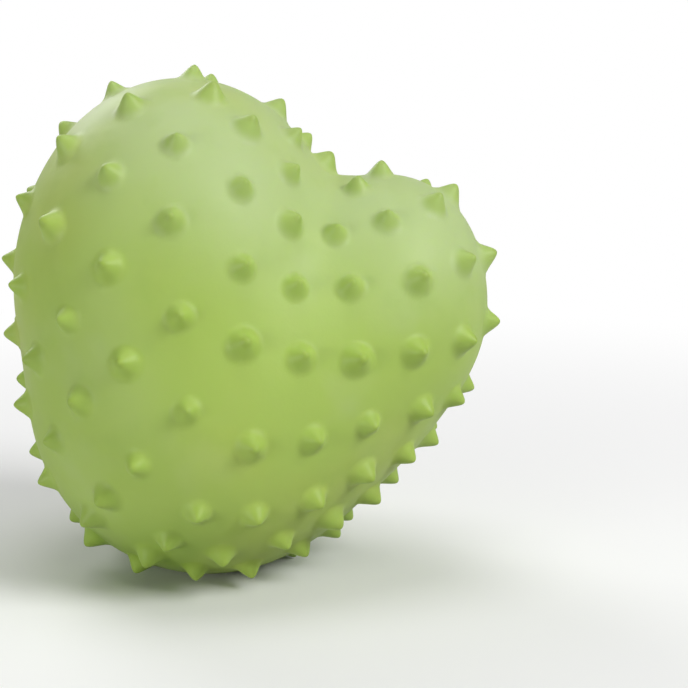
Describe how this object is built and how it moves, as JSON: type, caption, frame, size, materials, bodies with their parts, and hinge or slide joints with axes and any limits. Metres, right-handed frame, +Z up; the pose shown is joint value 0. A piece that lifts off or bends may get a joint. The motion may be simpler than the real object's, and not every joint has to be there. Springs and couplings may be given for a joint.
{
  "type": "soursop fruit",
  "caption": "Whole heart-shaped soursop with short soft spines over a green skin, resting on a small flat spot.",
  "frame": {"origin": "centre of the small flat spot that the fruit rests on", "axes": "+Z up along the fruit's height, -Y towards its front, +X towards its lower right lobe"},
  "size_m": [0.1764, 0.1482, 0.1794],
  "materials": {
    "skin": "matte green fruit skin, soft and slightly waxy"
  },
  "bodies": {
    "root": {"fruit": "skin"}
  },
  "joints": []
}
